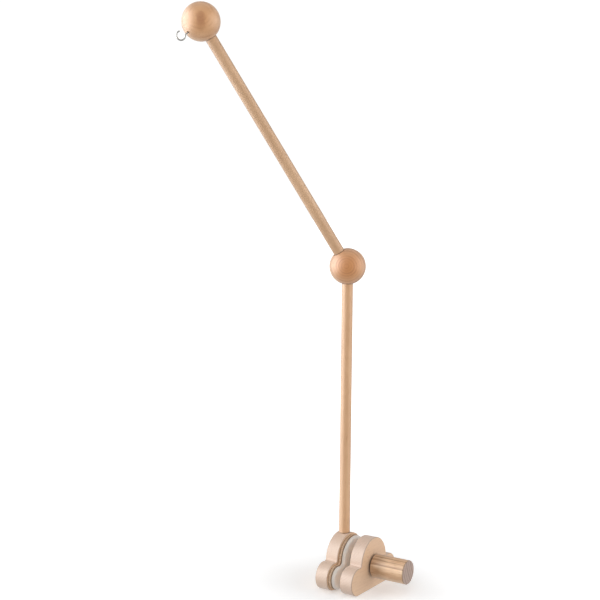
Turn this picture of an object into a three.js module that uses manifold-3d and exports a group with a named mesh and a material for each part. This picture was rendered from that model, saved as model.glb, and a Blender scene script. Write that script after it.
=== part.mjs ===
// A wooden cot mobile holder: a cloud-shaped rail clamp with a thick dowel handle, an upright rod,
// a ball at the elbow, a slanting rod and an end ball with a small steel hook.
// Millimetres, +Z up, +X from the fixed jaw to the handle, +Y along the rail.
// The origin is on the fixed jaw's underside, below the upright rod.
import * as THREE from 'three';
import { mergeVertices } from 'three/addons/utils/BufferGeometryUtils.js';
import Module from 'manifold-3d';

// Driving dimensions
const GAP = 0.3;                 // clearance between neighbours
const JAW_THICK = 15;
const JAW_EDGE = 1;              // rounding of the jaws' rims
const CROWN_R = 26;              // the cloud's middle lobe
const CROWN_Z = 28.5;
const LOBE_R = 14.5;             // its two side lobes, which stand on the flat underside
const LOBE_Y = 32;
const NOTCH_R = 2.5;             // hollow corner between the lobes
const CORK_THICK = 3.2;
const CORK_INSET = 0.6;          // the cork is this much smaller than the jaw, all round
const CORK_EDGE = 0.2;
const FELT_THICK = 3.5;
const FELT_INSET = 0.8;
const FELT_EDGE = 1.2;
const JAW_SPACE = 15.3;          // wood to wood, between the jaws

const SCREW_Z = 24.5;
const BOLT_R = 4;
const BOLT_EDGE = 1;
const BOLT_IN_JAW = 11;          // length held in the fixed jaw
const BOLT_IN_HANDLE = 28;       // length inside the handle as it stands
const HANDLE_R = 12.7;
const HANDLE_LENGTH = 41;
const HANDLE_BORE = 37;          // depth of the blind hole for the bolt
const HANDLE_ROOT_EDGE = 1.9;    // chamfer beside the moving jaw
const HANDLE_EDGE = 0.8;         // and at the free end

const ROD_R = 6;
const BALL_R = 19.5;
const JAW_SOCKET = 20;           // depth of the upright's hole in the fixed jaw
const BALL_SOCKET = 12;          // depth of the rods' holes in the balls
const ELBOW_Z = 344;
const ARM_REACH = 163;           // elbow ball to end ball, level
const ARM_RISE = 245;            // and upright
const ARM_TURN = 236;            // turn of the arm about the upright, from +X, in degrees

const WIRE_R = 0.75;
const HOOK_ASIDE = 4.4;          // the hook's plane lies this far beside the arm's
const HOOK_SLOPE = 40;           // its shank points this far below level, in degrees
const HOOK_IN_BALL = 9;
const HOOK_NECK = 3.1;           // straight wire outside the ball
const HOOK_BEND_R = 1.3;
const HOOK_DROP = 0.5;           // straight down, from the bend to the round part
const HOOK_R = 4.45;             // centre line of the round part
const HOOK_SWEEP = 248;          // degrees of the round part

// Worked out from those
const CROWN_TOP = CROWN_Z + CROWN_R;
const JAW_FACE = JAW_THICK / 2;
const MOVING_BACK = JAW_FACE + JAW_SPACE;
const MOVING_FRONT = MOVING_BACK + JAW_THICK;
const HANDLE_START = MOVING_FRONT + GAP;
const BOLT_START = JAW_FACE - BOLT_IN_JAW;
const BOLT_END = HANDLE_START + BOLT_IN_HANDLE;
const SOCKET_FLOOR = BALL_R - BALL_SOCKET;
const ARM_SPAN = Math.hypot(ARM_REACH, ARM_RISE);
const ARM_TILT = Math.atan2(ARM_REACH, ARM_RISE);
const ARM_HEADING = THREE.MathUtils.degToRad(ARM_TURN);
const HOOK_ENTRY = Math.sqrt(BALL_R ** 2 - HOOK_ASIDE ** 2);

const WOOD = { color: 0xe2bf97, roughness: 0.55, metalness: 0 };
const END_GRAIN = { color: 0xcfa888, roughness: 0.6, metalness: 0 };
const CORK = { color: 0xb48a66, roughness: 0.85, metalness: 0 };
const FELT = { color: 0xc8b8a8, roughness: 0.95, metalness: 0 };
const STEEL = { color: 0xa8abad, roughness: 0.3, metalness: 0.9 };

const wasm = await Module();
wasm.setup();

// Solids

function toSolid(geometry) {
  const bare = geometry.clone();
  bare.deleteAttribute('normal');
  bare.deleteAttribute('uv');
  const merged = mergeVertices(bare, 1e-4);
  return new wasm.Manifold(new wasm.Mesh({
    numProp: 3,
    vertProperties: Float32Array.from(merged.attributes.position.array),
    triVerts: Uint32Array.from(merged.index.array),
  }));
}

function toGeometry(solid) {
  const mesh = solid.getMesh();
  const geometry = new THREE.BufferGeometry();
  geometry.setAttribute('position', new THREE.BufferAttribute(mesh.vertProperties, 3));
  geometry.setIndex(new THREE.BufferAttribute(mesh.triVerts, 1));
  return geometry;
}

function cut(geometry, ...tools) {
  return toGeometry(tools.reduce((solid, tool) => solid.subtract(toSolid(tool)), toSolid(geometry)));
}

// A cylinder from one point to another.
function rodBetween(start, end, radius, sides = 32) {
  const along = end.clone().sub(start);
  const geometry = new THREE.CylinderGeometry(radius, radius, along.length(), sides);
  const turn = new THREE.Quaternion().setFromUnitVectors(new THREE.Vector3(0, 1, 0), along.clone().normalize());
  geometry.applyQuaternion(turn);
  const middle = start.clone().add(end).multiplyScalar(0.5);
  return geometry.translate(middle.x, middle.y, middle.z);
}

const alongX = (start, end, radius) => rodBetween(
  new THREE.Vector3(start, 0, SCREW_Z), new THREE.Vector3(end, 0, SCREW_Z), radius);

const alongZ = (start, end, radius) => rodBetween(
  new THREE.Vector3(0, 0, start), new THREE.Vector3(0, 0, end), radius);

// The jaws' outline, all round, drawn inside the full cloud by the inset.
function cloudShape(inset = 0) {
  const crown = CROWN_R - inset;
  const lobe = LOBE_R - inset;
  const notch = NOTCH_R + inset;
  // The notch's arc touches the crown and a lobe from outside.
  const span = Math.hypot(LOBE_Y, CROWN_Z - LOBE_R);
  const toCrown = crown + notch;
  const toLobe = lobe + notch;
  const lean = Math.atan2(LOBE_R - CROWN_Z, LOBE_Y);
  const opening = Math.acos((span ** 2 + toCrown ** 2 - toLobe ** 2) / (2 * span * toCrown));
  const crownTouch = lean + opening;
  const notchY = toCrown * Math.cos(crownTouch);
  const notchZ = CROWN_Z + toCrown * Math.sin(crownTouch);
  const lobeTouch = Math.atan2(notchZ - LOBE_R, notchY - LOBE_Y);
  const down = -Math.PI / 2;
  const shape = new THREE.Shape();
  shape.moveTo(-LOBE_Y, inset);
  shape.lineTo(LOBE_Y, inset);
  shape.absarc(LOBE_Y, LOBE_R, lobe, down, lobeTouch, false);
  shape.absarc(notchY, notchZ, notch, lobeTouch - Math.PI, crownTouch - Math.PI, true);
  shape.absarc(0, CROWN_Z, crown, crownTouch, Math.PI - crownTouch, false);
  shape.absarc(-notchY, notchZ, notch, -crownTouch, -lobeTouch, true);
  shape.absarc(-LOBE_Y, LOBE_R, lobe, Math.PI - lobeTouch, Math.PI * 1.5, false);
  shape.closePath();
  return shape;
}

// A cloud plate that stands on edge, from one X to another, with rounded rims.
function cloudPlate(start, end, inset, edge, edgeSteps) {
  const geometry = new THREE.ExtrudeGeometry(cloudShape(inset), {
    depth: end - start - 2 * edge,
    bevelThickness: edge,
    bevelSize: edge,
    bevelOffset: -edge,
    bevelSegments: edgeSteps,
    curveSegments: 9,
  });
  geometry.translate(0, 0, start + edge);
  const standing = new THREE.Matrix4().makeBasis(
    new THREE.Vector3(0, 1, 0), new THREE.Vector3(0, 0, 1), new THREE.Vector3(1, 0, 0));
  return geometry.applyMatrix4(standing);
}

// A turned piece on the screw's axis. The profile gives [distance along X, radius] from axis to axis.
function turned(profile, sides) {
  const points = profile.map(([along, radius]) => new THREE.Vector2(radius, along));
  const geometry = new THREE.LatheGeometry(points, sides);
  geometry.rotateZ(-Math.PI / 2);
  return geometry.translate(0, 0, SCREW_Z);
}

function piece(name, geometry, look) {
  const mesh = new THREE.Mesh(geometry, new THREE.MeshStandardMaterial(look));
  mesh.name = name;
  return mesh;
}

// The clamp

function clamp() {
  const group = new THREE.Group();
  const corkStart = JAW_FACE + GAP;
  const feltStart = corkStart + CORK_THICK + GAP;
  const feltEnd = feltStart + FELT_THICK;
  const boltHole = BOLT_R + GAP;

  const mastHole = alongZ(CROWN_TOP - JAW_SOCKET, CROWN_TOP + 1, ROD_R + GAP);
  const screwHole = alongX(BOLT_START - GAP, JAW_FACE + 1, boltHole);
  const throughHole = alongX(JAW_FACE, MOVING_FRONT + 1, boltHole);
  const fixed = cloudPlate(-JAW_FACE, JAW_FACE, 0, JAW_EDGE, 2);
  group.add(piece('fixed_jaw', cut(fixed, mastHole, screwHole), WOOD));
  const cork = cloudPlate(corkStart, corkStart + CORK_THICK, CORK_INSET, CORK_EDGE, 1);
  group.add(piece('jaw_cork', cut(cork, throughHole), CORK));
  const felt = cloudPlate(feltStart, feltEnd, FELT_INSET, FELT_EDGE, 2);
  group.add(piece('jaw_felt', cut(felt, throughHole), FELT));
  const moving = cloudPlate(MOVING_BACK, MOVING_FRONT, 0, JAW_EDGE, 2);
  group.add(piece('moving_jaw', cut(moving, throughHole), WOOD));

  const bolt = turned([
    [BOLT_START, 0], [BOLT_START, BOLT_R], [BOLT_END - BOLT_EDGE, BOLT_R],
    [BOLT_END, BOLT_R - BOLT_EDGE], [BOLT_END, 0],
  ], 32);
  group.add(piece('clamp_bolt', bolt, STEEL));

  const handleEnd = HANDLE_START + HANDLE_LENGTH;
  const bore = HANDLE_START + HANDLE_BORE;
  const handle = turned([
    [bore, 0], [bore, boltHole], [HANDLE_START, boltHole],
    [HANDLE_START, HANDLE_R - HANDLE_ROOT_EDGE], [HANDLE_START + HANDLE_ROOT_EDGE, HANDLE_R],
    [handleEnd - HANDLE_EDGE, HANDLE_R], [handleEnd, HANDLE_R - HANDLE_EDGE], [handleEnd, 0],
  ], 48);
  group.add(piece('turn_handle', handle, END_GRAIN));
  return group;
}

// The rods and balls

function ball(...holes) {
  const sphere = new THREE.SphereGeometry(BALL_R, 36, 18);
  sphere.rotateX(Math.PI / 2);
  return cut(sphere, ...holes);
}

// A hole in a ball that is centred on its own origin, from a floor out through the surface.
function socket(direction, radius, floor, aside = new THREE.Vector3()) {
  const start = direction.clone().multiplyScalar(floor).add(aside);
  const end = direction.clone().multiplyScalar(BALL_R + 1).add(aside);
  return rodBetween(start, end, radius);
}

// The hook's wire in an upright plane, measured from the point beside the end ball's centre: out of
// the ball, a small bend, a straight drop, then round and up to the tip.
class HookWire extends THREE.Curve {
  constructor() {
    super();
    const slope = THREE.MathUtils.degToRad(HOOK_SLOPE);
    const start = HOOK_ENTRY - HOOK_IN_BALL;
    this.place = new THREE.Vector2(start * Math.cos(slope), -start * Math.sin(slope));
    // Each stretch has a length and a radius; a bend to the right has a negative radius.
    this.stretches = [
      { length: HOOK_IN_BALL + HOOK_NECK, radius: Infinity },
      { length: (Math.PI / 2 - slope) * HOOK_BEND_R, radius: -HOOK_BEND_R },
      { length: HOOK_DROP, radius: Infinity },
      { length: THREE.MathUtils.degToRad(HOOK_SWEEP) * HOOK_R, radius: HOOK_R },
    ];
    this.slope = slope;
    this.total = this.stretches.reduce((sum, stretch) => sum + stretch.length, 0);
  }

  getPoint(t, target = new THREE.Vector3()) {
    const at = this.place.clone();
    let heading = -this.slope;
    let left = t * this.total;
    for (const { length, radius } of this.stretches) {
      const run = Math.min(left, length);
      const turn = run / radius;
      const chord = turn === 0 ? run : 2 * radius * Math.sin(turn / 2);
      at.x += chord * Math.cos(heading + turn / 2);
      at.y += chord * Math.sin(heading + turn / 2);
      heading += turn;
      left -= run;
    }
    return target.set(at.x, 0, at.y);
  }
}

function hook() {
  const wire = new THREE.Shape();
  wire.absarc(0, 0, WIRE_R, 0, 2 * Math.PI, false);
  return new THREE.ExtrudeGeometry(wire, { steps: 44, curveSegments: 4, extrudePath: new HookWire() });
}

function holder() {
  const group = new THREE.Group();
  const down = new THREE.Vector3(0, 0, -1);
  const outward = new THREE.Vector3(Math.cos(ARM_HEADING), Math.sin(ARM_HEADING), 0);
  const up = new THREE.Vector3(0, 0, 1);
  const armWay = outward.clone().multiplyScalar(Math.sin(ARM_TILT)).addScaledVector(up, Math.cos(ARM_TILT));
  const slope = THREE.MathUtils.degToRad(HOOK_SLOPE);
  const hookWay = outward.clone().multiplyScalar(Math.cos(slope)).addScaledVector(up, -Math.sin(slope));
  const aside = new THREE.Vector3().crossVectors(up, outward).multiplyScalar(HOOK_ASIDE);
  const hole = ROD_R + GAP;

  const mast = alongZ(CROWN_TOP - JAW_SOCKET + GAP, ELBOW_Z - SOCKET_FLOOR - GAP, ROD_R);
  group.add(piece('mast_rod', mast, WOOD));

  const elbow = piece('elbow_ball', ball(socket(down, hole, SOCKET_FLOOR), socket(armWay, hole, SOCKET_FLOOR)), WOOD);
  elbow.position.set(0, 0, ELBOW_Z);
  group.add(elbow);

  const armStart = armWay.clone().multiplyScalar(SOCKET_FLOOR + GAP);
  const armEnd = armWay.clone().multiplyScalar(ARM_SPAN - SOCKET_FLOOR - GAP);
  const arm = piece('arm_rod', rodBetween(armStart, armEnd, ROD_R), WOOD);
  arm.position.copy(elbow.position);
  group.add(arm);

  const tip = new THREE.Group();
  tip.position.copy(elbow.position).addScaledVector(armWay, ARM_SPAN);
  const wireHole = socket(hookWay, WIRE_R + GAP, HOOK_ENTRY - HOOK_IN_BALL - GAP, aside);
  const backWay = armWay.clone().negate();
  tip.add(piece('end_ball', ball(socket(backWay, hole, SOCKET_FLOOR), wireHole), WOOD));
  const wire = piece('toy_hook', hook(), STEEL);
  wire.position.copy(aside);
  wire.rotation.z = ARM_HEADING;
  tip.add(wire);
  group.add(tip);
  return group;
}

const mobileHolder = new THREE.Group();
mobileHolder.add(clamp(), holder());

export default mobileHolder;
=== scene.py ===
"""A wooden cot mobile holder: a cloud-shaped rail clamp, an upright, an elbow ball and an arm with a hook.

Metres, +Z up. The clamp's screw runs along +X and the rail that it grips along +Y. Every piece stands in
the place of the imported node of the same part, and takes its place and main sizes from that node's box.
"""

import logging
import math
from dataclasses import dataclass
from enum import Enum
from typing import Iterable, Sequence

import bmesh
import bpy
from mathutils import Matrix, Vector, noise

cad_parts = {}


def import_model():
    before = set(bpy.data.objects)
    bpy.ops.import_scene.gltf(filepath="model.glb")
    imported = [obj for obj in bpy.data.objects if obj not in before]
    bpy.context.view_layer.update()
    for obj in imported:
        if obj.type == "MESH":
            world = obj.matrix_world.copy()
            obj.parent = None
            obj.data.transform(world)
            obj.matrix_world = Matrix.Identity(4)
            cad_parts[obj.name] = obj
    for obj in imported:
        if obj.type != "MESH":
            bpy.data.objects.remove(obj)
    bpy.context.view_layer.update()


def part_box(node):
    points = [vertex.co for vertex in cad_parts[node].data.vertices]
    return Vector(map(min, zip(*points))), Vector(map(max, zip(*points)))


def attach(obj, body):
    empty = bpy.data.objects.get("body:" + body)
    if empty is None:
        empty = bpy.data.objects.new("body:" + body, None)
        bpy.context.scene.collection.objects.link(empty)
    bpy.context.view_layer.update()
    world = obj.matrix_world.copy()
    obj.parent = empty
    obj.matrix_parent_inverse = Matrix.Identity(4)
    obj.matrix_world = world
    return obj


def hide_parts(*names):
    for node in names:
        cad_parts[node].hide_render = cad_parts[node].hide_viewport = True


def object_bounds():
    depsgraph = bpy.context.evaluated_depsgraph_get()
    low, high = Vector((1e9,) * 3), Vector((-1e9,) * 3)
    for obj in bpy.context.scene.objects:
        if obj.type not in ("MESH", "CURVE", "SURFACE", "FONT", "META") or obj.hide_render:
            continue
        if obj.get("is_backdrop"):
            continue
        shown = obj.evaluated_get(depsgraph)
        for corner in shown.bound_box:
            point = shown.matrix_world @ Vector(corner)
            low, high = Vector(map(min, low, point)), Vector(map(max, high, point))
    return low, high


LOG = logging.getLogger("cot_mobile_holder")

MM = 0.001
FULL_TURN = 2 * math.pi
QUARTER_TURN = math.pi / 2
MERGE = 0.001 * MM
CREASE = math.radians(35)
PAST_MOUTH = 6 * MM
DRILL_SIDES = 96

UP = Vector((0, 0, 1))
ALONG_SCREW = Vector((1, 0, 0))
ALONG_RAIL = Vector((0, 1, 0))

Socket = bpy.types.NodeSocket
Finish = bpy.types.Material
Piece = bpy.types.Object
Shape = bmesh.types.BMesh
Colour = tuple[float, float, float]
Profile = list[tuple[float, float]]
Input = str | int


class Body(Enum):
    """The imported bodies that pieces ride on."""

    HOLDER = "root"
    JAW = "jaw"
    HANDLE = "handle"


class Shows(Enum):
    """The surfaces that a light shows on."""

    ALL = "all"
    MATT = "matt"
    GLOSS = "gloss"


class Slot(Enum):
    """The material slots."""

    BEECH = "beech"
    HANDLE_BEECH = "beech_handle"
    CORK = "cork"
    FELT = "felt"
    STEEL = "steel"


# Finishes


class Nodes:
    """A node tree, laid one short step at a time."""

    def __init__(self, tree: bpy.types.NodeTree) -> None:
        """Takes up a tree."""
        self.tree = tree

    def add(self, kind: str, inputs: dict[Input, object], **settings: object) -> bpy.types.Node:
        """Adds a node and feeds its inputs.

        Args:
            kind: The node's type.
            inputs: A value or another node's socket for each input, by name or number.
            settings: The node's own options.

        Returns:
            The new node.
        """
        node = self.tree.nodes.new(kind)
        for option, value in settings.items():
            setattr(node, option, value)
        for place, value in inputs.items():
            self.feed(node.inputs[place], value)
        return node

    def feed(self, place: Socket, value: object) -> None:
        """Links a socket to an input, or sets the input's own value.

        Args:
            place: The input.
            value: A socket, a number, a vector or a colour.
        """
        if isinstance(value, Socket):
            self.tree.links.new(value, place)
        elif place.type == "RGBA":
            place.default_value = (*value, 1)
        else:
            place.default_value = value

    def coordinates(self, kind: str = "Object") -> Socket:
        """Gives a texture coordinate of the piece, by the output's name."""
        return self.add("ShaderNodeTexCoord", {}).outputs[kind]

    def math(self, operation: str, *values: object) -> Socket:
        """Gives a number worked out from others."""
        return self.add("ShaderNodeMath", dict(enumerate(values)), operation=operation).outputs[0]

    def vector(self, operation: str, *values: object, result: str = "Vector") -> Socket:
        """Gives a vector worked out from others or, as the result "Value", a number."""
        return self.add("ShaderNodeVectorMath", dict(enumerate(values)), operation=operation).outputs[result]

    def scaled(self, vector: Socket, by: Sequence[float]) -> Socket:
        """Gives a vector with each of its parts multiplied."""
        return self.vector("MULTIPLY", vector, by)

    def length(self, vector: Socket) -> Socket:
        """Gives a vector's length."""
        return self.vector("LENGTH", vector, result="Value")

    def along(self, way: Vector, kind: str = "Object") -> Socket:
        """Gives how far one of the piece's coordinates reaches along a way."""
        return self.vector("DOT_PRODUCT", self.coordinates(kind), way, result="Value")

    def ranged(self, value: Socket, span: tuple[float, float], first: object, last: object,
               easing: str = "LINEAR") -> Socket:
        """Turns a span of values into the one from first to last, and holds it at its ends beyond."""
        return self.add("ShaderNodeMapRange", {
            "Value": value, "From Min": span[0], "From Max": span[1], "To Min": first, "To Max": last,
        }, interpolation_type=easing).outputs["Result"]

    def noise(self, vector: Socket, size: float, detail: float = 2, roughness: float = 0.5) -> Socket:
        """Gives a cloudy number from 0 to 1: detail counts the finer layers, roughness is their strength."""
        return self.add("ShaderNodeTexNoise", {
            "Vector": vector, "Scale": 1 / size, "Detail": detail, "Roughness": roughness}).outputs["Fac"]

    def streaks(self, vector: Socket, size: float, run: float, detail: float,
                roughness: float = 0.5) -> Socket:
        """Gives noise that changes more slowly along Z than across it, by the part that run says."""
        return self.noise(self.scaled(vector, (1, 1, run)), size, detail, roughness)

    def swing(self, factor: Socket, amount: float) -> Socket:
        """Turns a factor from 0 to 1 into one about zero, of a given swing."""
        return self.math("MULTIPLY", self.math("SUBTRACT", factor, 0.5), amount)

    def curve(self, factor: Socket, stops: Sequence[tuple[float, float]]) -> Socket:
        """Reshapes a factor.

        Args:
            factor: A number from 0 to 1.
            stops: (place, value) pairs, with straight lines between them.

        Returns:
            The reshaped number.
        """
        node = self.add("ShaderNodeValToRGB", {"Fac": factor})
        steps = node.color_ramp.elements
        while len(steps) < len(stops):
            steps.new(0.5)
        for step, (place, value) in zip(steps, stops):
            step.position = place
            step.color = (value, value, value, 1)
        return node.outputs["Color"]

    def mix(self, factor: object, first: object, second: object, blend: str = "MIX") -> Socket:
        """Gives a colour mixed from two others.

        Args:
            factor: From 0, all the first, to 1, all the second.
            first: The first colour.
            second: The second.
            blend: How the second is laid on.

        Returns:
            The mixed colour.
        """
        node = self.add("ShaderNodeMix", {}, data_type="RGBA", clamp_factor=True, blend_type=blend)
        for name, value in (("Factor_Float", factor), ("A_Color", first), ("B_Color", second)):
            self.feed(next(place for place in node.inputs if place.identifier == name), value)
        return next(place for place in node.outputs if place.identifier == "Result_Color")


class FinishNodes(Nodes):
    """A material's node tree, with its shader."""

    def __init__(self, name: str) -> None:
        """Starts a material with only its shader.

        Args:
            name: The material's name.
        """
        self.material = bpy.data.materials.new(name)
        self.material.use_nodes = True
        super().__init__(self.material.node_tree)
        self.shader = self.tree.nodes["Principled BSDF"]

    def relief(self, height: Socket, depth: float, strength: float) -> None:
        """Gives the surface a fine relief: depth is how far apart heights 0 and 1 are."""
        bump = self.add("ShaderNodeBump", {"Height": height, "Distance": depth, "Strength": strength})
        self.feed(self.shader.inputs["Normal"], bump.outputs["Normal"])

    def set(self, **values: object) -> None:
        """Feeds the shader's own inputs, named with _ for a space."""
        for name, value in values.items():
            self.feed(self.shader.inputs[name.replace("_", " ")], value)


@dataclass(frozen=True)
class Mark:
    """A line of painted shade round a piece, where a plane crosses it.

    The plane goes through the point, and across is its normal.
    """

    point: Vector
    across: Vector
    width: float
    strength: float

    def mask(self, nodes: FinishNodes) -> Socket:
        """Gives how dark the painted shade line is, from 0 to its strength.

        Args:
            nodes: The tree that the nodes are added to.

        Returns:
            The line's darkness.
        """
        normal = self.across.normalized()
        away = nodes.math("ABSOLUTE", nodes.math("SUBTRACT", nodes.along(normal), normal.dot(self.point)))
        return nodes.ranged(away, (self.width / 4, self.width / 2), self.strength, 0.0)


def lines_across(*lines: tuple[float, float, float]) -> tuple[Mark, ...]:
    """Gives painted shade lines across the screw's way, each as (place along it, width, strength)."""
    return tuple(Mark(ALONG_SCREW * place, ALONG_SCREW, width, strength) for place, width, strength in lines)


@dataclass(frozen=True)
class Spot:
    """A darker oval, soft at its edge, about a point."""

    point: Vector
    reach: tuple[float, float, float]
    strength: float
    core: float = 0.45
    wave: float = 3 * MM

    def mask(self, nodes: FinishNodes) -> Socket:
        """Gives how dark the spot is, from 0 to its strength.

        Args:
            nodes: The tree that the nodes are added to.

        Returns:
            The spot's darkness.
        """
        shift = nodes.vector("SUBTRACT", nodes.coordinates(), self.point)
        away = nodes.length(nodes.scaled(shift, [1 / part for part in self.reach]))
        wavy = nodes.math("ADD", away, nodes.swing(nodes.noise(nodes.coordinates(), self.wave), 0.5))
        return nodes.ranged(wavy, (self.core, 1.0), self.strength, 0.0, "SMOOTHSTEP")


@dataclass(frozen=True)
class Beech:
    """Sanded beech: growth rings about a heart line, fibres and short ray flecks along it.

    The grain is the way that the fibres run, and the heart a point of the line that the rings go round. The
    end colour lies where the surface faces the grain, or, on a board, all round its edge.
    """

    name: str
    grain: Vector
    heart: Vector
    ring: float = 1.8 * MM
    ring_strength: float = 0.45
    cloud: float = 13 * MM
    cloud_strength: float = 0.35
    fleck_strength: float = 0.3
    pale: Colour = (0.87, 0.54, 0.31)
    dark: Colour = (0.56, 0.275, 0.11)
    line: Colour = (0.60, 0.38, 0.20)
    fleck: Colour = (0.66, 0.52, 0.40)
    end: Colour = (0.48, 0.31, 0.22)
    end_strength: float = 0.5
    end_reach: float = 3
    board_face: Vector | None = None
    ring_gaps: float = 0.9
    wander: float = 2.2 * MM
    slow_bend: float = 30 * MM
    quick_bend: float = 6 * MM
    patch: float = 12 * MM
    fibre: float = 0.7 * MM
    fibre_tone: float = 0.35
    fibre_shine: float = 0.16
    middle_tone: float = 0.25
    ray: float = 0.9 * MM
    relief_depth: float = 0.06 * MM
    relief_strength: float = 0.25
    roughness: float = 0.44
    gloss: float = 1.0
    # The colour of the marks: lines of painted shade in joints, grooves and along rounded rims.
    painted_shade: Colour = (0.045, 0.014, 0.004)
    marks: tuple[Mark, ...] = ()
    spots: tuple[Spot, ...] = ()

    def make(self) -> Finish:
        """Builds the material."""
        nodes = FinishNodes(self.name)
        turn = self.grain.rotation_difference(UP)
        wood = nodes.add("ShaderNodeMapping", {
            "Vector": nodes.coordinates(), "Location": -(turn @ self.heart), "Rotation": turn.to_euler(),
        }).outputs[0]
        rings = self.rings(nodes, wood)
        fibres = nodes.streaks(wood, self.fibre, 0.02, 3, 0.6)
        clouds = nodes.streaks(wood, self.cloud, 0.16, 2)
        tone = nodes.math("ADD", nodes.swing(clouds, 3 * self.cloud_strength), self.middle_tone)
        tone = nodes.math("ADD", tone, nodes.swing(fibres, self.fibre_tone))
        colour = nodes.mix(tone, self.pale, self.dark)
        colour = nodes.mix(self.end_grain(nodes), colour, self.end)
        colour = nodes.mix(nodes.math("MULTIPLY", rings, self.ring_strength), colour, self.line, "MULTIPLY")
        flecks = nodes.curve(nodes.streaks(wood, self.ray, 0.1, 1), ((0.0, 0.0), (0.60, 0.0), (0.70, 1.0)))
        flecks = nodes.math("MULTIPLY", flecks, self.fleck_strength)
        colour = nodes.mix(flecks, colour, self.fleck, "MULTIPLY")
        for spot in self.spots:
            colour = nodes.mix(spot.mask(nodes), colour, self.line, "MULTIPLY")
        # Each mark lays a line of painted shade.
        for mark in self.marks:
            colour = nodes.mix(mark.mask(nodes), colour, self.painted_shade)
        nodes.relief(nodes.math("ADD", nodes.math("MULTIPLY", rings, 0.4), fibres), self.relief_depth,
                     self.relief_strength)
        nodes.set(Base_Color=colour, IOR=1.5, Specular_IOR_Level=0.2, Sheen_Weight=0.4, Sheen_Roughness=0.4,
                  Roughness=nodes.math("ADD", nodes.swing(fibres, self.fibre_shine), self.roughness),
                  Coat_Weight=self.gloss, Coat_Roughness=0.55, Coat_IOR=1.7)
        return nodes.material

    def rings(self, nodes: FinishNodes, wood: Socket) -> Socket:
        """Gives the growth rings' darkness: slow through each year, then a sharp dark line.

        Args:
            nodes: The tree that the nodes are added to.
            wood: Coordinates about the heart line, with the fibres along Z.

        Returns:
            A number from 0, pale, to 1, dark.
        """
        from_heart = nodes.length(nodes.scaled(wood, (1, 1, 0)))
        slow = nodes.swing(nodes.streaks(wood, self.slow_bend, 0.25, 1), self.wander)
        quick = nodes.swing(nodes.streaks(wood, self.quick_bend, 0.25, 2), self.wander / 5)
        count = nodes.math("DIVIDE", nodes.math("ADD", from_heart, nodes.math("ADD", slow, quick)), self.ring)
        year = nodes.curve(nodes.math("FRACT", count),
                           ((0.0, 0.0), (0.5, 0.12), (0.8, 0.8), (0.92, 1.0), (1.0, 0.0)))
        random = nodes.add("ShaderNodeTexWhiteNoise", {"W": nodes.math("FLOOR", count)},
                           noise_dimensions="1D").outputs["Value"]
        gap = 1 - self.ring_gaps
        patches = nodes.curve(nodes.noise(wood, self.patch, 1), ((0.0, gap), (0.35, gap), (0.6, 1.0)))
        shade = nodes.math("ADD", nodes.math("MULTIPLY", random, 0.7), 0.3)
        return nodes.math("MULTIPLY", year, nodes.math("MULTIPLY", shade, patches))

    def end_grain(self, nodes: FinishNodes) -> Socket:
        """Gives how much of the end's colour shows, from 0 to its strength.

        Args:
            nodes: The tree that the nodes are added to.

        Returns:
            The end colour's part.
        """
        way = self.grain.normalized() if self.board_face is None else self.board_face
        across = nodes.math("POWER", nodes.math("ABSOLUTE", nodes.along(way, "Normal")), self.end_reach)
        if self.board_face is not None:
            across = nodes.math("SUBTRACT", 1.0, across)
        return nodes.math("MULTIPLY", across, self.end_strength)


@dataclass(frozen=True)
class Cork:
    """Pressed cork granules in several browns, with dark seams between them, and painted shade lines in the
    same dark colour.
    """

    granule: float = 1.6 * MM
    crumb: float = 0.35 * MM
    wobble: float = 0.8 * MM
    bend: float = 0.6 * MM
    seam_strength: float = 0.6
    light: Colour = (0.84, 0.62, 0.44)
    brown: Colour = (0.60, 0.39, 0.24)
    seam_and_shade: Colour = (0.26, 0.14, 0.075)
    marks: tuple[Mark, ...] = ()

    def make(self) -> Finish:
        """Builds the material."""
        nodes = FinishNodes("cork_granules")
        place = nodes.coordinates()
        wobble = nodes.add("ShaderNodeTexNoise", {"Vector": place, "Scale": 1 / self.wobble}).outputs["Color"]
        bent = {"Vector": nodes.vector("ADD", nodes.scaled(wobble, (self.bend,) * 3), place),
                "Scale": 1 / self.granule}
        cells = nodes.add("ShaderNodeTexVoronoi", bent).outputs["Color"]
        edges = nodes.add("ShaderNodeTexVoronoi", bent, feature="DISTANCE_TO_EDGE").outputs["Distance"]
        shade = nodes.add("ShaderNodeSeparateColor", {"Color": cells}).outputs["Red"]
        grain = nodes.noise(place, self.crumb, 3)
        colour = nodes.mix(nodes.math("ADD", shade, nodes.swing(grain, 0.6)), self.light, self.brown)
        seams = nodes.curve(edges, ((0.0, 1.0), (0.1, 0.0)))
        colour = nodes.mix(nodes.math("MULTIPLY", seams, self.seam_strength), colour, self.seam_and_shade)
        # Each mark lays a line of painted shade in the seam colour.
        for mark in self.marks:
            colour = nodes.mix(mark.mask(nodes), colour, self.seam_and_shade)
        nodes.relief(nodes.math("ADD", nodes.curve(edges, ((0.0, 0.0), (0.15, 1.0))), grain), 0.25 * MM, 0.7)
        nodes.set(Base_Color=colour, Roughness=0.9, IOR=1.4)
        return nodes.material


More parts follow.
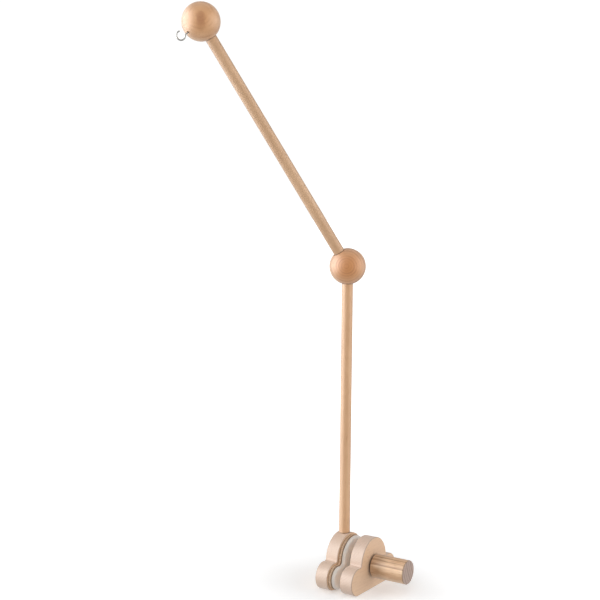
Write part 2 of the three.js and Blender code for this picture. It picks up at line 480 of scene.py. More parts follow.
@dataclass(frozen=True)
class Felt:
    """Pressed wool felt: short fibres lying every way, flecked lighter and darker, warmer at its cut edge."""

    fibre: float = 0.35 * MM
    fibre_turns: tuple[float, ...] = (10, 70, 130)
    fluff: float = 0.5 * MM
    cloud: float = 7 * MM
    light: Colour = (0.98, 0.965, 0.94)
    dark: Colour = (0.86, 0.845, 0.82)
    edge: Colour = (0.95, 0.83, 0.73)

    def make(self) -> Finish:
        """Builds the material."""
        nodes = FinishNodes("wool_felt")
        place = nodes.coordinates()
        fibres = nodes.math("MULTIPLY", nodes.noise(place, self.fluff), 0.4)
        for turn in self.fibre_turns:
            lying = nodes.add("ShaderNodeMapping", {
                "Vector": place, "Rotation": (math.radians(turn), 0, 0), "Scale": (1, 0.14, 1)}).outputs[0]
            fibres = nodes.math("MAXIMUM", fibres, nodes.noise(lying, self.fibre, 1))
        strands = nodes.curve(fibres, ((0.5, 0.0), (0.8, 1.0)))
        clouds = nodes.noise(place, self.cloud, 3)
        tone = nodes.math("ADD", nodes.math("MULTIPLY", strands, 0.75), nodes.swing(clouds, 0.5))
        cut_edge = nodes.math("SUBTRACT", 1.0, nodes.math("ABSOLUTE", nodes.along(ALONG_SCREW, "Normal")))
        colour = nodes.mix(cut_edge, nodes.mix(tone, self.dark, self.light), self.edge, "MULTIPLY")
        nodes.relief(strands, 0.2 * MM, 0.8)
        nodes.set(Base_Color=colour, Roughness=0.95, IOR=1.35, Sheen_Weight=0.1, Sheen_Roughness=0.6,
                  Subsurface_Weight=0.6, Subsurface_Radius=(1.0, 0.95, 0.9), Subsurface_Scale=4 * MM)
        return nodes.material


@dataclass(frozen=True)
class Steel:
    """Zinc-plated steel with a faintly clouded shine."""

    name: str
    tone: Colour = (0.50, 0.50, 0.48)
    dull: Colour = (0.33, 0.325, 0.31)
    roughness: float = 0.38
    cloud: float = 1.2 * MM
    scratch: float = 0.3 * MM

    def make(self) -> Finish:
        """Builds the material."""
        nodes = FinishNodes(self.name)
        clouds = nodes.noise(nodes.coordinates(), self.cloud, 4, 0.6)
        nodes.relief(nodes.noise(nodes.coordinates(), self.scratch, 2), 0.02 * MM, 0.3)
        nodes.set(Base_Color=nodes.mix(clouds, self.tone, self.dull), Metallic=0.95,
                  Roughness=nodes.math("ADD", nodes.swing(clouds, 0.2), self.roughness))
        return nodes.material


@dataclass(frozen=True)
class FloorPaint:
    """The studio's pale floor, which glows more away from the clamp, so that it has no horizon, and less near
    it, which paints a soft shade round the clamp.
    """

    tone: Colour = (0.86, 0.865, 0.87)
    near_glow: float = 0.27
    far_glow: float = 1.1
    glow_span: tuple[float, float] = (0.05, 0.4)

    def make(self) -> Finish:
        """Builds the material."""
        nodes = FinishNodes("studio_floor")
        # The dimmer glow near the clamp is painted shade; the lamps' own shadows show in it too.
        glow = nodes.ranged(nodes.length(nodes.coordinates()), self.glow_span, self.near_glow, self.far_glow)
        nodes.set(Base_Color=self.tone, Roughness=0.9, Specular_IOR_Level=0.1,
                  Emission_Color=(1, 1, 1), Emission_Strength=glow)
        return nodes.material


# Shaping


def arc(centre: tuple[float, float], radius: float, start: float, end: float, steps: int) -> Profile:
    """Gives the points of an arc of a profile, with its angles taken from straight out from the axis."""
    angles = (start + (end - start) * step / steps for step in range(steps + 1))
    return [(centre[0] + radius * math.cos(angle), centre[1] + radius * math.sin(angle)) for angle in angles]


def crosses(edge: bmesh.types.BMEdge) -> bool:
    """Says whether an edge runs from one face of a plate to the other."""
    return abs(edge.verts[0].co.x - edge.verts[1].co.x) > MERGE


def screw_end(node: str) -> Vector:
    """Gives the middle of a node's face where the screw's way starts."""
    low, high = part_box(node)
    return Vector((low.x, (low.y + high.y) / 2, (low.z + high.z) / 2))


def turned(profile: Profile, steps: int) -> Shape:
    """Spins a half section about Z into a closed solid.

    Args:
        profile: (distance from the axis, height) pairs, from the axis to the axis.
        steps: The number of sides.

    Returns:
        The solid.
    """
    shape = bmesh.new()
    points = [shape.verts.new((radius, 0, height)) for radius, height in profile]
    edges = [shape.edges.new(pair) for pair in zip(points, points[1:])]
    bmesh.ops.spin(shape, geom=points + edges, cent=(0, 0, 0), axis=UP, angle=FULL_TURN, steps=steps,
                   use_merge=True)
    return closed(shape)


def closed(shape: Shape) -> Shape:
    """Merges a shape's doubled points and turns its faces outwards.

    Args:
        shape: The shape.

    Returns:
        The same shape.
    """
    bmesh.ops.remove_doubles(shape, verts=shape.verts, dist=MERGE)
    bmesh.ops.recalc_face_normals(shape, faces=shape.faces)
    return shape


def stood(shape: Shape, start: Vector, way: Vector) -> Shape:
    """Moves a shape from the Z axis on to another line.

    Args:
        shape: The shape, standing on the origin along Z.
        start: Where its origin goes.
        way: The way that its Z goes.

    Returns:
        The shape.
    """
    matrix = Matrix.Translation(start) @ UP.rotation_difference(way).to_matrix().to_4x4()
    bmesh.ops.transform(shape, matrix=matrix, verts=shape.verts)
    return shape


def drill(start: Vector, way: Vector, radius: float, length: float, mouth: float) -> Shape:
    """Makes the solid that a drill with a countersink takes away.

    Args:
        start: The hole's floor.
        way: The way out of the hole.
        radius: The hole's radius.
        length: From the floor to the mouth.
        mouth: The width of the mouth's chamfer.

    Returns:
        The solid, which runs on past the mouth.
    """
    past = length + PAST_MOUTH
    profile = [(0, 0), (radius, 0), (radius, length - mouth), (radius + mouth + past - length, past),
               (0, past)]
    return stood(turned(profile, DRILL_SIDES), start, way.normalized())


def baked(piece: Piece) -> None:
    """Writes a piece's modifiers into its mesh.

    Args:
        piece: The piece.
    """
    graph = bpy.context.evaluated_depsgraph_get()
    mesh = bpy.data.meshes.new_from_object(piece.evaluated_get(graph))
    plain = piece.data
    piece.modifiers.clear()
    piece.data = mesh
    bpy.data.meshes.remove(plain)


def shown(name: str, shape: Shape) -> Piece:
    """Puts a shape in the scene as an object at the origin.

    Args:
        name: The object's name.
        shape: The shape, which is freed.

    Returns:
        The object.
    """
    mesh = bpy.data.meshes.new(name)
    shape.to_mesh(mesh)
    shape.free()
    piece = bpy.data.objects.new(name, mesh)
    bpy.context.scene.collection.objects.link(piece)
    return piece


def cut(piece: Piece, tools: Iterable[Shape]) -> None:
    """Takes solids out of a piece for good.

    Args:
        piece: The piece.
        tools: The solids.
    """
    for tool in tools:
        cutter = shown("cutter", tool)
        taking = piece.modifiers.new("cut", "BOOLEAN")
        taking.operation = "DIFFERENCE"
        taking.solver = "EXACT"
        taking.object = cutter
        baked(piece)
        bpy.data.meshes.remove(cutter.data)


def smoothed(piece: Piece, weighted: bool) -> None:
    """Shades a piece smooth between its creases.

    Args:
        piece: The piece.
        weighted: Whether broad flats keep their own direction up to their rounded rims.
    """
    shape = bmesh.new()
    shape.from_mesh(piece.data)
    for face in shape.faces:
        face.smooth = True
    for edge in shape.edges:
        edge.smooth = edge.calc_face_angle(0) < CREASE
    shape.to_mesh(piece.data)
    shape.free()
    if weighted:
        level = piece.modifiers.new("broad flats", "WEIGHTED_NORMAL")
        level.keep_sharp = True


def finished(piece: Piece, node: str, finish: Finish, body: Body = Body.HOLDER,
             weighted: bool = False) -> None:
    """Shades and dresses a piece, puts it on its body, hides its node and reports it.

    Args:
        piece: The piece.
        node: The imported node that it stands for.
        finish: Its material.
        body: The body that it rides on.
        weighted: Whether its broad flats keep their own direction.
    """
    smoothed(piece, weighted)
    piece.data.materials.clear()
    piece.data.materials.append(finish)
    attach(piece, body.value)
    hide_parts(node)
    LOG.info("%s: %d faces, rides on %s", piece.name, len(piece.data.polygons), body.value)


# The clamp


@dataclass(frozen=True)
class Cloud:
    """The jaws' outline: a crown between two side lobes, on a straight underside."""

    crown_radius: float = 26 * MM
    crown_height: float = 28.5 * MM
    lobe_radius: float = 14.5 * MM
    lobe_reach: float = 32 * MM
    notch_radius: float = 2.5 * MM

    def plate(self, start: float, end: float, inset: float, stretch: float) -> Shape:
        """Builds a sharp-edged plate of this outline.

        Args:
            start: Where it begins along the screw.
            end: Where it ends.
            inset: How far its outline lies inside the full one.
            stretch: The length of the outline's short edges.

        Returns:
            The solid.
        """
        shape = self.outline(inset, stretch)
        face = bmesh.ops.contextual_create(shape, geom=shape.edges[:])["faces"]
        raised = bmesh.ops.extrude_face_region(shape, geom=face)["geom"]
        points = [item for item in raised if isinstance(item, bmesh.types.BMVert)]
        bmesh.ops.translate(shape, verts=points, vec=ALONG_SCREW * (end - start))
        bmesh.ops.translate(shape, verts=shape.verts, vec=ALONG_SCREW * start)
        return closed(shape)

    def outline(self, inset: float, stretch: float) -> Shape:
        """Draws the outline, arc after arc, each spun from the last one's end.

        Args:
            inset: How far it lies inside the full outline.
            stretch: The length of its short edges.

        Returns:
            A closed loop of edges across the screw.
        """
        crown, lobe, notch = self.crown_radius - inset, self.lobe_radius - inset, self.notch_radius + inset
        across, rise = self.lobe_reach, self.crown_height - self.lobe_radius
        span, to_crown, to_lobe = math.hypot(across, rise), crown + notch, lobe + notch
        opening = math.acos((span ** 2 + to_crown ** 2 - to_lobe ** 2) / (2 * span * to_crown))
        crown_touch = opening - math.atan2(rise, across)
        notch_y = to_crown * math.cos(crown_touch)
        notch_z = self.crown_height + to_crown * math.sin(crown_touch)
        lobe_touch = math.atan2(notch_z - self.lobe_radius, notch_y - across)
        arcs = (
            (across, self.lobe_radius, lobe, lobe_touch + QUARTER_TURN),
            (notch_y, notch_z, notch, crown_touch - lobe_touch),
            (0, self.crown_height, crown, math.pi - 2 * crown_touch),
            (-notch_y, notch_z, notch, crown_touch - lobe_touch),
            (-across, self.lobe_radius, lobe, lobe_touch + QUARTER_TURN),
        )
        shape = bmesh.new()
        first = shape.verts.new((0, -across, inset))
        last = shape.verts.new((0, across, inset))
        shape.edges.new((first, last))
        for y, z, radius, angle in arcs:
            spun = bmesh.ops.spin(shape, geom=[last], cent=(0, y, z), axis=ALONG_SCREW, angle=angle,
                                  steps=max(3, round(abs(angle) * radius / stretch)))
            last = spun["geom_last"][0]
        bmesh.ops.remove_doubles(shape, verts=shape.verts, dist=MERGE)
        foot = max(shape.edges, key=lambda edge: edge.calc_length())
        bmesh.ops.subdivide_edges(shape, edges=[foot], cuts=round(2 * across / stretch) - 1)
        return shape


@dataclass(frozen=True)
class RailClamp:
    """The two cloud jaws, the cork and felt that line the fixed one, and the screw through them."""

    cloud: Cloud = Cloud()
    rim: float = 1.0 * MM
    rim_steps: int = 5
    rim_shade_strength: float = 0.3
    wood_stretch: float = 0.9 * MM
    lining_stretch: float = 0.45 * MM
    cork_inset: float = 1.8 * MM
    cork_layers: int = 8
    cork_relief: float = 0.16 * MM
    cork_lump: float = 1.3 * MM
    # Width and strength of the painted shade lines at the cork's two faces.
    cork_shade: float = 1.3 * MM
    cork_dark: float = 0.6
    felt_inset: float = 2.2 * MM
    felt_rim: float = 2.9 * MM
    felt_back_rim: float = 0.5 * MM
    felt_cell: float = 0.55 * MM
    felt_relief: float = 0.14 * MM
    felt_lump: float = 2.6 * MM
    screw_hole: float = 4.3 * MM
    past: float = 2 * MM
    mast_hole: float = 6.12 * MM
    mast_dip: float = 0.25 * MM
    countersink: float = 0.35 * MM
    pitch: float = 1.25 * MM
    thread_depth: float = 0.7 * MM
    thread_sides: int = 28
    spare_turns: int = 3

    def build(self) -> None:
        """Builds and dresses every piece of the clamp."""
        self.fixed_jaw()
        self.moving_jaw()
        self.cork()
        self.felt()
        self.screw()

    def on_axis(self, place: float) -> Vector:
        """Gives the point of the screw's axis at a place along it."""
        middle = screw_end("clamp_bolt")
        return Vector((place, middle.y, middle.z))

    def board(self, node: str) -> Piece:
        """Cuts a jaw's board and rounds its rims.

        Args:
            node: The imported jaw.

        Returns:
            The board, without its holes.
        """
        low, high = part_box(node)
        shape = self.cloud.plate(low.x, high.x, 0, self.wood_stretch)
        rims = [edge for edge in shape.edges if not crosses(edge)]
        bmesh.ops.bevel(shape, geom=rims, offset=self.rim, segments=self.rim_steps, profile=0.5,
                        affect="EDGES", material=-1)
        return shown(node + "_board", shape)

    def fixed_jaw(self) -> None:
        """Makes the jaw that carries the upright."""
        board = self.board("fixed_jaw")
        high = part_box("fixed_jaw")[1]
        floor = Vector((0, 0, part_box("mast_rod")[0].z))
        start = screw_end("clamp_bolt")
        cut(board, (
            drill(floor, UP, self.mast_hole, high.z - floor.z - self.mast_dip, self.countersink),
            drill(start, ALONG_SCREW, self.screw_hole, high.x - start.x, self.countersink),
        ))
        wood = self.wood("fixed_jaw", Vector((60, 0, -40)) * MM, ring=2.4 * MM, cloud_strength=0.18,
                         pale=(0.92, 0.63, 0.40), dark=(0.70, 0.43, 0.24), end=(0.75, 0.57, 0.46))
        finished(board, "fixed_jaw", wood.make(), weighted=True)

    def moving_jaw(self) -> None:
        """Makes the loose jaw, drilled right through."""
        board = self.board("moving_jaw")
        low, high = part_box("moving_jaw")
        middle = self.on_axis((low.x + high.x) / 2)
        overlap = 1 * MM
        reach = high.x - middle.x
        cut(board, (
            drill(middle, ALONG_SCREW, self.screw_hole, reach, self.countersink),
            drill(middle + ALONG_SCREW * overlap, -ALONG_SCREW, self.screw_hole, reach + overlap,
                  self.countersink),
        ))
        wood = self.wood("moving_jaw", Vector((-35, 0, 95)) * MM, ring=2.6 * MM, cloud_strength=0.2,
                         pale=(0.92, 0.62, 0.395), dark=(0.70, 0.42, 0.23), end=(0.73, 0.555, 0.455))
        finished(board, "moving_jaw", wood.make(), Body.JAW, weighted=True)

    def wood(self, node: str, heart: Vector, **look: object) -> Beech:
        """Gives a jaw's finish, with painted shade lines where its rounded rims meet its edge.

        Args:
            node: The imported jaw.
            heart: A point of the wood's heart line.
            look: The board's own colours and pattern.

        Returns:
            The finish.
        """
        low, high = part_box(node)
        # Painted shade along both rounded rims.
        lines = lines_across((low.x + self.rim / 2, self.rim, self.rim_shade_strength),
                             (high.x - self.rim / 2, self.rim, self.rim_shade_strength))
        return Beech("beech_" + node, ALONG_RAIL, heart, ring_strength=0.16, gloss=0.7, end_strength=0.8,
                     board_face=ALONG_SCREW, marks=lines, **look)

    def cork(self) -> None:
        """Makes the cork sheet, with granules standing out of its edge."""
        low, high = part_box("jaw_cork")
        shape = self.cloud.plate(low.x, high.x, self.cork_inset, self.lining_stretch)
        sides = [edge for edge in shape.edges if crosses(edge)]
        bmesh.ops.subdivide_edges(shape, edges=sides, cuts=self.cork_layers - 1, use_grid_fill=True)
        roughen(shape, self.cork_relief, self.cork_lump)
        sheet = shown("cork_sheet", shape)
        cut(sheet, (self.through(low.x, high.x),))
        # Painted shade lines at both faces, where the cork meets the jaw and the felt.
        lines = lines_across(*((place, self.cork_shade, self.cork_dark) for place in (low.x, high.x)))
        finished(sheet, "jaw_cork", Cork(marks=lines).make())

    def felt(self) -> None:
        """Makes the felt pad, soft-edged and slightly uneven all over."""
        low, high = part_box("jaw_felt")
        shape = self.cloud.plate(low.x, high.x, self.felt_inset, self.lining_stretch)
        for place, rim in ((high.x, self.felt_rim), (low.x, self.felt_back_rim)):
            rims = [edge for edge in shape.edges if all(abs(end.co.x - place) < MERGE for end in edge.verts)]
            bmesh.ops.bevel(shape, geom=rims, offset=rim, segments=6, profile=0.5, affect="EDGES",
                            material=-1)
        pad = shown("felt_pad", shape)
        cut(pad, (self.through(low.x, high.x),))
        cells = pad.modifiers.new("felted", "REMESH")
        cells.mode = "VOXEL"
        cells.voxel_size = self.felt_cell
        baked(pad)
        shape = bmesh.new()
        shape.from_mesh(pad.data)
        bmesh.ops.smooth_vert(shape, verts=shape.verts, factor=0.5, use_axis_x=True, use_axis_y=True,
                              use_axis_z=True)
        roughen(shape, self.felt_relief, self.felt_lump)
        shape.to_mesh(pad.data)
        shape.free()
        finished(pad, "jaw_felt", Felt().make())

    def through(self, start: float, end: float) -> Shape:
        """Gives the screw's plain hole through a lining, from one place along the screw to another."""
        length = end - start + 4 * self.past
        return drill(self.on_axis(start - self.past), ALONG_SCREW, self.screw_hole, length, 0)

    def screw(self) -> None:
        """Makes the steel screw, with its thread as a helix of real depth."""
        low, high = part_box("clamp_bolt")
        crest = (high.y - low.y) / 2
        root = crest - self.thread_depth
        length = high.x - low.x
        turns = math.ceil(length / self.pitch) + self.spare_turns
        # One turn's outline, as (radius, part of the pitch).
        heights = ((root, 0), (root, 0.12), (crest, 0.46), (crest, 0.58), (root, 0.92), (root, 1))
        shape = bmesh.new()
        points = [shape.verts.new((radius, 0, (part - self.spare_turns / 2) * self.pitch))
                  for radius, part in heights]
        edges = [shape.edges.new(pair) for pair in zip(points, points[1:])]
        bmesh.ops.spin(shape, geom=points + edges, cent=(0, 0, 0), axis=UP, angle=turns * FULL_TURN,
                       steps=turns * self.thread_sides, dvec=UP * self.pitch / self.thread_sides)
        bmesh.ops.remove_doubles(shape, verts=shape.verts, dist=MERGE)
        for place, way in ((0, -UP), (length, UP)):
            bmesh.ops.bisect_plane(shape, geom=shape.verts[:] + shape.edges[:] + shape.faces[:],
                                   plane_co=UP * place, plane_no=way, clear_outer=True)
        bmesh.ops.holes_fill(shape, edges=[edge for edge in shape.edges if edge.is_boundary])
        screw = shown("steel_screw", stood(closed(shape), screw_end("clamp_bolt"), ALONG_SCREW))
        finished(screw, "clamp_bolt", Steel("screw_steel").make())


def roughen(shape: Shape, depth: float, lump: float) -> None:
    """Moves every point in or out along its normal, in lumps with finer ones on them.

    Args:
        shape: The shape.
        depth: How far a point moves at most.
        lump: The width of the lumps.
    """
    shape.normal_update()
    for point in shape.verts:
        coarse = noise.noise(point.co / lump)
        fine = noise.noise(point.co * 3 / lump)
        point.co += point.normal * depth * (0.7 * coarse + 0.3 * fine - 0.5)


@dataclass(frozen=True)
class TurnHandle:
    """The thick dowel that turns on the screw."""

    root_chamfer: float = 1.9 * MM
    end_round: float = 0.7 * MM
    bore: float = 4.3 * MM
    bore_depth: float = 37 * MM
    bore_mouth: float = 0.5 * MM
    lip: float = 0.3 * MM
    sides: int = 160

    def build(self) -> None:
        """Turns the dowel and dresses it."""
        low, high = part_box("turn_handle")
        radius, length = (high.y - low.y) / 2, high.x - low.x
        root, end = self.root_chamfer, self.end_round
        profile = [(0, self.bore_depth + self.bore / 2), (self.bore, self.bore_depth),
                   (self.bore, self.bore_mouth), (self.bore + self.bore_mouth, 0),
                   (radius - root - self.lip, 0)]
        profile += arc((radius - root, root), root, -QUARTER_TURN * 0.92, 0, 8)
        profile += arc((radius - end, length - end), end, 0, QUARTER_TURN, 6)
        profile += [(0, length)]
        start = screw_end("turn_handle")
        dowel = shown("handle_dowel", stood(turned(profile, self.sides), start, ALONG_SCREW))
        # Painted shade: a dark line in the gap at the root, a wider soft shade near the root and a line at
        # the far rim.
        shoulder, shade = (low.x + 0.3 * MM, 4.4 * MM, 1.0), (low.x + 2 * MM, 40 * MM, 0.3)
        far_rim_shade = (high.x - 0.3 * MM, 1.8 * MM, 0.5)
        wood = Beech("beech_handle", ALONG_SCREW, start + Vector((0, 57, 26)) * MM, ring=4.0 * MM,
                     ring_strength=0.9, ring_gaps=0.2, cloud=4 * MM, cloud_strength=0.6, fleck_strength=0.7,
                     pale=(0.97, 0.67, 0.42), dark=(0.58, 0.29, 0.12), end=(0.99, 0.74, 0.64),
                     line=(0.40, 0.26, 0.18), end_strength=0.85, wander=1.0 * MM, gloss=0.5,
                     marks=lines_across(shoulder, shade, far_rim_shade))
        finished(dowel, "turn_handle", wood.make(), Body.HANDLE, weighted=True)


# The upright and the arm


@dataclass(frozen=True)
class Holder:
    """The upright rod, the elbow ball, the arm's rod and the end ball."""

    socket: float = 12 * MM
    clearance: float = 0.3 * MM
    hole: float = 6.3 * MM
    countersink: float = 0.5 * MM
    rod_end: float = 0.6 * MM
    rod_sides: int = 96
    ball_sides: int = 128
    ball_steps: int = 80
    wire_hole: float = 1.55 * MM
    wire_mouth: float = 0.2 * MM
    joint_shade_width: float = 1.5 * MM
    joint_shade_strength: float = 0.6

    def build(self, hook: "ToyHook") -> None:
        """Builds the rods and the balls, and drills them.

        Args:
            hook: The hook, which says where its hole goes.
        """
        self.rods()
        self.elbow()
        self.end_ball(hook)

    def radius(self) -> float:
        """Gives the balls' radius."""
        low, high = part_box("end_ball")
        return (high.z - low.z) / 2

    def mouth(self) -> float:
        """Gives how far from a ball's centre its surface meets a socket."""
        return math.sqrt(self.radius() ** 2 - self.hole ** 2)

    def elbow_centre(self) -> Vector:
        """Gives the elbow ball's centre, below its whole upper pole."""
        return Vector((0, 0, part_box("elbow_ball")[1].z - self.radius()))

    def end_centre(self) -> Vector:
        """Gives the end ball's centre."""
        low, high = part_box("end_ball")
        return (low + high) / 2

    def arm_way(self) -> Vector:
        """Gives the way from the elbow ball to the end ball."""
        return (self.end_centre() - self.elbow_centre()).normalized()

    def rod(self, name: str, start: Vector, end: Vector, radius: float) -> Piece:
        """Turns a rod with eased ends.

        Args:
            name: The piece's name.
            start: The middle of one end.
            end: The middle of the other.
            radius: The rod's radius.

        Returns:
            The rod.
        """
        length = (end - start).length
        eased = self.rod_end
        profile = [(0, 0), (radius - eased, 0), (radius, eased), (radius, length - eased),
                   (radius - eased, length), (0, length)]
        return shown(name, stood(turned(profile, self.rod_sides), start, (end - start).normalized()))

    def rods(self) -> None:
        """Makes the upright and the arm's rod."""
        low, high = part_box("mast_rod")
        radius = (high.x - low.x) / 2
        elbow, end, way, mouth = self.elbow_centre(), self.end_centre(), self.arm_way(), self.mouth()
        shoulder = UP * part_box("fixed_jaw")[1].z
        heart = Vector((9, -14, 0)) * MM
        mast = self.rod("mast_dowel", UP * low.z, UP * high.z, radius)
        wood = Beech("beech_mast", UP, heart, ring=2.2 * MM, ring_strength=0.4, cloud_strength=0.3,
                     pale=(0.80, 0.475, 0.25), dark=(0.52, 0.255, 0.095),
                     # Painted shade lines where the upright enters the elbow ball and the jaw; the arm's
                     # lines below are the same.
                     marks=(self.joint_shade_line(elbow - UP * mouth, UP), self.joint_shade_line(shoulder, UP)))
        finished(mast, "mast_rod", wood.make())
        inset = way * (self.radius() - self.socket + self.clearance)
        arm = self.rod("arm_dowel", elbow + inset, end - inset, radius)
        wood = Beech("beech_arm", way, elbow + heart, ring=2.4 * MM, ring_strength=0.4, cloud_strength=0.35,
                     pale=(0.70, 0.43, 0.235), dark=(0.45, 0.235, 0.095),
                     marks=(self.joint_shade_line(elbow + way * mouth, way), self.joint_shade_line(end - way * mouth, way)))
        finished(arm, "arm_rod", wood.make())

    def joint_shade_line(self, point: Vector, way: Vector) -> Mark:
        """Gives the painted shade line round a rod where it enters another piece."""
        return Mark(point, way, self.joint_shade_width, self.joint_shade_strength)

    def ball(self, name: str, centre: Vector, ways: Iterable[Vector]) -> Piece:
        """Turns a ball and drills its sockets.

        Args:
            name: The piece's name.
            centre: The ball's centre.
            ways: The way out of each socket.

        Returns:
            The ball.
        """
        radius = self.radius()
        profile = arc((0, 0), radius, -QUARTER_TURN, QUARTER_TURN, self.ball_steps)
        ball = shown(name, stood(turned(profile, self.ball_sides), centre, ALONG_RAIL))
        floor = radius - self.socket
        cut(ball, [drill(centre + way * floor, way, self.hole, self.mouth() - floor, self.countersink)
                   for way in ways])
        return ball

    def elbow(self) -> None:
        """Makes the elbow ball."""
        centre = self.elbow_centre()
        ball = self.ball("elbow_bead", centre, (-UP, self.arm_way()))
        heart = centre + Vector((-1.1, -0.7, -0.3)) * MM
        wood = Beech("beech_elbow", Vector((0.6, -1.0, 0.08)), heart, ring=2.8 * MM, ring_strength=0.85,
                     ring_gaps=0.6, cloud_strength=0.3, end=(0.62, 0.235, 0.05), end_strength=0.95,
                     end_reach=1.7, wander=3.0 * MM)
        finished(ball, "elbow_ball", wood.make())

    def end_ball(self, hook: "ToyHook") -> None:
        """Makes the end ball, with the hook's hole.

        Args:
            hook: The hook.
        """
        centre = self.end_centre()
        ball = self.ball("end_bead", centre, (-self.arm_way(),))
        start, way = hook.shank()
        cut(ball, (drill(start, way, self.wire_hole, hook.in_ball, self.wire_mouth),))
        pith = centre + Vector((0.62, -0.78, -0.08)) * self.radius()
        wood = Beech("beech_end", Vector((0.6, -0.9, 0.05)), centre + UP * 3 * MM, ring=3.6 * MM,
                     ring_strength=0.5, cloud_strength=0.6, end=(0.66, 0.32, 0.115), end_strength=0.95,
                     end_reach=1.8, wander=5 * MM,
                     spots=(Spot(pith + UP * 3 * MM, (6 * MM, 6 * MM, 9 * MM), 0.36),
                            Spot(pith - UP * 5 * MM, (6 * MM, 6 * MM, 16 * MM), 0.3)))
        finished(ball, "end_ball", wood.make())


@dataclass(frozen=True)
class ToyHook:
    """The open hook of steel wire, bent in an upright plane beside the arm's own."""

    holder: Holder
    wire: float = 0.75 * MM
    aside: float = 4.4 * MM
    slope: float = math.radians(40)
    in_ball: float = 9 * MM
    neck: float = 3.1 * MM
    bend_radius: float = 1.3 * MM
    drop: float = 0.5 * MM
    round_radius: float = 4.45 * MM
    round_sweep: float = math.radians(248)
    sides: int = 20

    def outward(self) -> Vector:
        """Gives the level way from the upright towards the end ball."""
        level = self.holder.arm_way()
        level.z = 0
        return level.normalized()

    def shank(self) -> tuple[Vector, Vector]:
        """Gives the wire's inner end and the way out along it.

        Returns:
            The point and the way.
        """
        outward = self.outward()
        way = outward * math.cos(self.slope) - UP * math.sin(self.slope)
        beside = self.holder.end_centre() + UP.cross(outward) * self.aside
        entry = math.sqrt(self.holder.radius() ** 2 - self.aside ** 2)
        return beside + way * (entry - self.in_ball), way

    def build(self) -> None:
        """Bends the wire and dresses it."""
        start, way = self.shank()
        normal = UP.cross(self.outward()).normalized()
        shape = bmesh.new()
        loop = bmesh.ops.create_circle(shape, cap_ends=False, segments=self.sides, radius=self.wire)["verts"]
        stood(shape, start, way)
        edges = shape.edges[:]
        bmesh.ops.edgeloop_fill(shape, edges=edges)
        run = WireRun(shape, loop, edges, start, way, normal)
        run.straight(self.in_ball + self.neck)
        run.bend(self.bend_radius, -(QUARTER_TURN - self.slope), 8)
        run.straight(self.drop)
        run.bend(self.round_radius, self.round_sweep, 64)
        run.dome(self.wire, 4)
        hook = shown("wire_hook", closed(shape))
        finished(hook, "toy_hook", Steel("hook_steel").make())


@dataclass
class WireRun:
    """A round wire that grows from its last ring of points, and bends about one axis, square to its way."""

    shape: Shape
    points: list
    edges: list
    at: Vector
    way: Vector
    normal: Vector

    def take(self, geometry: Sequence) -> None:
        """Makes the newest points and edges the wire's last ring."""
        self.points = [item for item in geometry if isinstance(item, bmesh.types.BMVert)]
        self.edges = [item for item in geometry if isinstance(item, bmesh.types.BMEdge)]

    def straight(self, length: float) -> None:
        """Draws the wire on by a straight length.

        Args:
            length: The length.
        """
        self.take(bmesh.ops.extrude_edge_only(self.shape, edges=self.edges)["geom"])
        bmesh.ops.translate(self.shape, verts=self.points, vec=self.way * length)
        self.at = self.at + self.way * length

    def bend(self, radius: float, angle: float, steps: int) -> None:
        """Bends the wire about a centre beside it.

        Args:
            radius: The bend's radius.
            angle: How far it turns, upwards when positive.
            steps: The number of short stretches.
        """
        side = self.normal.cross(self.way) * math.copysign(1, -angle)
        centre = self.at + side * radius
        spun = bmesh.ops.spin(self.shape, geom=self.points + self.edges, cent=centre, axis=self.normal,
                              angle=-angle, steps=steps)
        self.take(spun["geom_last"])
        turn = Matrix.Rotation(-angle, 3, self.normal)
        self.at = centre + turn @ (self.at - centre)
        self.way = turn @ self.way

    def dome(self, radius: float, steps: int) -> None:
        """Rounds the wire's end and closes it.

        Args:
            radius: The wire's radius.
            steps: The number of rings on the dome.
        """
        for step in range(steps):
            now, then = (QUARTER_TURN * 0.94 * part / steps for part in (step, step + 1))
            self.straight(radius * (math.sin(then) - math.sin(now)))
            bmesh.ops.scale(self.shape, verts=self.points, vec=(math.cos(then) / math.cos(now),) * 3,
                            space=Matrix.Translation(-self.at))
        bmesh.ops.edgeloop_fill(self.shape, edges=self.edges)


# The studio


@dataclass(frozen=True)
class SoftBox:
    """A soft light, wide and tall, that looks at the holder's middle with one brightness."""

    name: str
    turn: float
    lift: float
    distance: float
    width: float
    height: float
    glow: float
    shows: Shows = Shows.ALL


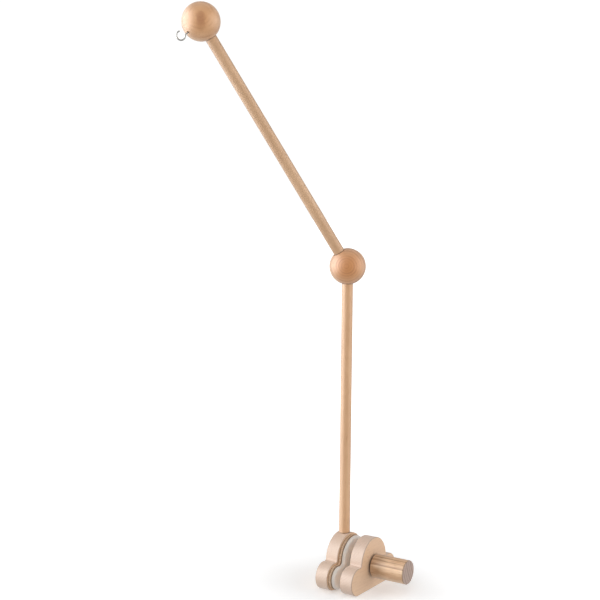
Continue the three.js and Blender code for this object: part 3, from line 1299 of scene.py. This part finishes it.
@dataclass(frozen=True)
class Studio:
    """The pale floor, the white surround, the soft lights and the camera."""

    eye: Vector = Vector((0.60843, -1.00182, 0.41239))
    heading: float = math.radians(-33.74)
    dip: float = math.radians(5.12)
    roll: float = math.radians(0.48)
    lens: float = 66
    floor_size: float = 40
    sensor: float = 36
    surround_above: float = 0.34
    surround_below: float = 0.6
    surround_blend: float = 0.3
    surround_seen: float = 1.05
    middle: Vector = Vector((-0.02, -0.05, 0.28))
    lights: tuple[SoftBox, ...] = (
        SoftBox("key_left", -98, 10, 1.5, 2.2, 2.2, 1.2),
        SoftBox("sheen_left", -80, 10, 1.5, 1.9, 2.2, 4.6, Shows.GLOSS),
        SoftBox("fill_right", 86, 14, 1.6, 1.9, 1.6, 1.0),
        SoftBox("sheen_right", 78, 12, 1.6, 1.4, 1.8, 1.5, Shows.GLOSS),
        SoftBox("overhead", 10, 75, 1.8, 1.4, 1.4, 0.6),
        SoftBox("front", -3, 22, 2.0, 1.2, 1.2, 2.1, Shows.MATT),
    )

    def build(self) -> None:
        """Builds the whole studio."""
        self.floor()
        self.white_surround()
        for box in self.lights:
            self.light(box)
        self.camera()
        bpy.context.scene.view_settings.view_transform = "Standard"

    def floor(self) -> None:
        """Lays the floor under the clamp."""
        shape = bmesh.new()
        bmesh.ops.create_grid(shape, x_segments=1, y_segments=1, size=self.floor_size / 2)
        bmesh.ops.translate(shape, verts=shape.verts, vec=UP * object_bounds()[0][2])
        floor = shown("studio_floor", shape)
        floor.data.materials.append(FloorPaint().make())
        floor.visible_diffuse = False
        floor.visible_glossy = False
        floor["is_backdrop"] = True

    def white_surround(self) -> None:
        """Surrounds the studio with white that lights it only softly."""
        world = bpy.data.worlds.new("surround")
        bpy.context.scene.world = world
        world.use_nodes = True
        nodes = Nodes(world.node_tree)
        height = nodes.add("ShaderNodeSeparateXYZ", {"Vector": nodes.coordinates("Generated")}).outputs["Z"]
        soft = nodes.ranged(height, (-self.surround_blend, self.surround_blend), self.surround_below,
                            self.surround_above)
        seen = nodes.add("ShaderNodeLightPath", {}).outputs["Is Camera Ray"]
        sky = nodes.tree.nodes["Background"].inputs
        nodes.feed(sky["Color"], (1, 1, 1))
        nodes.feed(sky["Strength"], nodes.ranged(seen, (0, 1), soft, self.surround_seen))

    def light(self, box: SoftBox) -> None:
        """Hangs one soft light.

        Args:
            box: The light. Its turn is from the camera's side, to the right as the camera sees it.
        """
        towards = Vector((self.eye.x, self.eye.y, 0)).normalized()
        level = Matrix.Rotation(math.radians(box.turn), 3, UP) @ towards
        way = level * math.cos(math.radians(box.lift)) + UP * math.sin(math.radians(box.lift))
        lamp = bpy.data.lights.new(box.name, "AREA")
        lamp.shape = "RECTANGLE"
        lamp.size = box.width
        lamp.size_y = box.height
        lamp.energy = box.glow * math.pi * box.width * box.height
        light = bpy.data.objects.new(box.name, lamp)
        light.location = self.middle + way * box.distance
        light.rotation_euler = way.to_track_quat("Z", "Y").to_euler()
        light.visible_diffuse = box.shows != Shows.GLOSS
        light.visible_glossy = box.shows != Shows.MATT
        bpy.context.scene.collection.objects.link(light)

    def camera(self) -> None:
        """Sets the camera, with no shift."""
        view = bpy.data.cameras.new("camera")
        view.lens = self.lens
        view.sensor_width = self.sensor
        camera = bpy.data.objects.new("camera", view)
        turn = Matrix.Rotation(-self.heading, 4, "Z") @ Matrix.Rotation(QUARTER_TURN - self.dip, 4, "X")
        camera.matrix_world = Matrix.Translation(self.eye) @ turn @ Matrix.Rotation(self.roll, 4, "Z")
        bpy.context.scene.collection.objects.link(camera)
        bpy.context.scene.camera = camera


def main() -> None:
    """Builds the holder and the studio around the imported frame."""
    logging.basicConfig(level=logging.INFO, format="%(message)s")
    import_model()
    holder = Holder()
    hook = ToyHook(holder)
    Studio().build()
    RailClamp().build()
    TurnHandle().build()
    holder.build(hook)
    hook.build()


if __name__ == "__main__":
    main()
